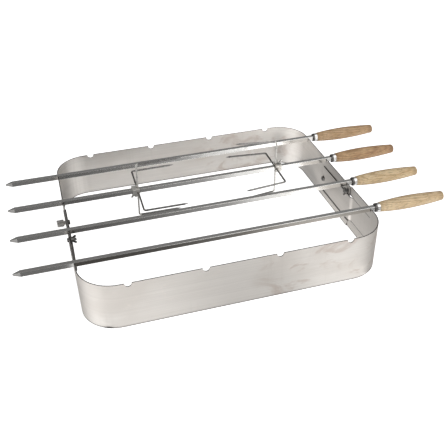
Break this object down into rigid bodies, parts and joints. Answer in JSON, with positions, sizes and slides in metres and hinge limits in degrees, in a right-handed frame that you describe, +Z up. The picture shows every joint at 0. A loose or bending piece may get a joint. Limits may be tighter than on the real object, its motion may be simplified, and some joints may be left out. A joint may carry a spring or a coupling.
{
  "type": "rotisserie spit roaster",
  "caption": "Stainless ring of telescoping bands with notched rims that carries wooden-handled square spits, with sliding pronged forks that hold meat on a spit.",
  "frame": {"origin": "bottom centre of the whole roaster's bounding box; the ring's own centre is 28.2 mm towards -X", "axes": "+X along the spits from their points towards the handles, +Y to the back, +Z up"},
  "size_m": [0.875, 0.49, 0.1749],
  "materials": {
    "band_sheet": "horizontally brushed stainless sheet",
    "spit_steel": "polished bar with drawing lines",
    "ferrule": "polished steel cap",
    "handle_wood_dark": "oiled turned hardwood",
    "handle_wood_pale": "oiled turned hardwood, paler",
    "fork_rod": "drawn round rod",
    "fork_block": "cast and machined steel",
    "fastener": "plated steel fastener",
    "knob": "fluted and turned thumb nut"
  },
  "bodies": {
    "front_band": {"front_band": "band_sheet", "clamp_bolt_left": "fastener", "clamp_bolt_right": "fastener"},
    "rear_band": {"rear_band": "band_sheet", "lock_bolt_left": "fastener", "lock_bolt_right": "fastener"},
    "clamp_knob_left": {"clamp_knob_left": "knob"},
    "wing_nut_left": {"wing_nut_left": "fastener"},
    "clamp_knob_right": {"clamp_knob_right": "knob"},
    "wing_nut_right": {"wing_nut_right": "fastener"},
    "spit_1": {"spit_bar_1": "spit_steel", "spit_ferrule_1": "ferrule", "spit_handle_1": "handle_wood_dark"},
    "spit_2": {"spit_bar_2": "spit_steel", "spit_ferrule_2": "ferrule", "spit_handle_2": "handle_wood_dark"},
    "spit_3": {"spit_bar_3": "spit_steel", "spit_ferrule_3": "ferrule", "spit_handle_3": "handle_wood_pale"},
    "spit_4": {"spit_bar_4": "spit_steel", "spit_ferrule_4": "ferrule", "spit_handle_4": "handle_wood_pale"},
    "fork_left": {"fork_left_hub": "fork_block", "fork_left_prong_back": "fork_rod", "fork_left_prong_top": "fork_rod", "fork_left_prong_front": "fork_rod", "fork_left_prong_bottom": "fork_rod"},
    "fork_left_screw": {"fork_left_screw": "fork_block"},
    "fork_right": {"fork_right_hub": "fork_block", "fork_right_prong_back": "fork_rod", "fork_right_prong_top": "fork_rod", "fork_right_prong_front": "fork_rod", "fork_right_prong_bottom": "fork_rod"},
    "fork_right_screw": {"fork_right_screw": "fork_block"}
  },
  "joints": [
    {"name": "ring_extend", "type": "slide", "parent": "front_band", "child": "rear_band", "axis": [0, 1, 0], "range_m": [0, 0.08]},
    {"name": "clamp_knob_left_turn", "type": "hinge", "parent": "front_band", "child": "clamp_knob_left", "pos_m": [-0.3332, 0.055, 0.05], "axis": [-1, 0, 0], "continuous": true},
    {"name": "wing_nut_left_turn", "type": "hinge", "parent": "rear_band", "child": "wing_nut_left", "pos_m": [-0.3182, -0.062, 0.086], "axis": [1, 0, 0], "continuous": true},
    {"name": "clamp_knob_right_turn", "type": "hinge", "parent": "front_band", "child": "clamp_knob_right", "pos_m": [0.2768, 0.055, 0.05], "axis": [1, 0, 0], "continuous": true},
    {"name": "wing_nut_right_turn", "type": "hinge", "parent": "rear_band", "child": "wing_nut_right", "pos_m": [0.2618, -0.062, 0.086], "axis": [-1, 0, 0], "continuous": true},
    {"name": "spit_1_turn", "type": "hinge", "parent": "rear_band", "child": "spit_1", "pos_m": [-0.0282, 0.1654, 0.0991], "axis": [1, 0, 0], "continuous": true},
    {"name": "spit_2_turn", "type": "hinge", "parent": "rear_band", "child": "spit_2", "pos_m": [-0.0282, 0.0578, 0.0991], "axis": [1, 0, 0], "continuous": true},
    {"name": "spit_3_turn", "type": "hinge", "parent": "rear_band", "child": "spit_3", "pos_m": [-0.0282, -0.0499, 0.0991], "axis": [1, 0, 0], "continuous": true},
    {"name": "spit_4_turn", "type": "hinge", "parent": "front_band", "child": "spit_4", "pos_m": [-0.0282, -0.1576, 0.0991], "axis": [1, 0, 0], "continuous": true},
    {"name": "fork_left_slide", "type": "slide", "parent": "spit_2", "child": "fork_left", "axis": [1, 0, 0], "range_m": [-0.11, 0.06]},
    {"name": "fork_right_slide", "type": "slide", "parent": "spit_2", "child": "fork_right", "axis": [1, 0, 0], "range_m": [-0.06, 0.09]},
    {"name": "fork_left_screw_turn", "type": "hinge", "parent": "fork_left", "child": "fork_left_screw", "pos_m": [-0.1767, 0.05788, 0.09846], "axis": [0, 0.1305, -0.9914], "continuous": true},
    {"name": "fork_right_screw_turn", "type": "hinge", "parent": "fork_right", "child": "fork_right_screw", "pos_m": [0.1544, 0.05777, 0.1001], "axis": [0, -0.0262, 0.9997], "continuous": true}
  ]
}
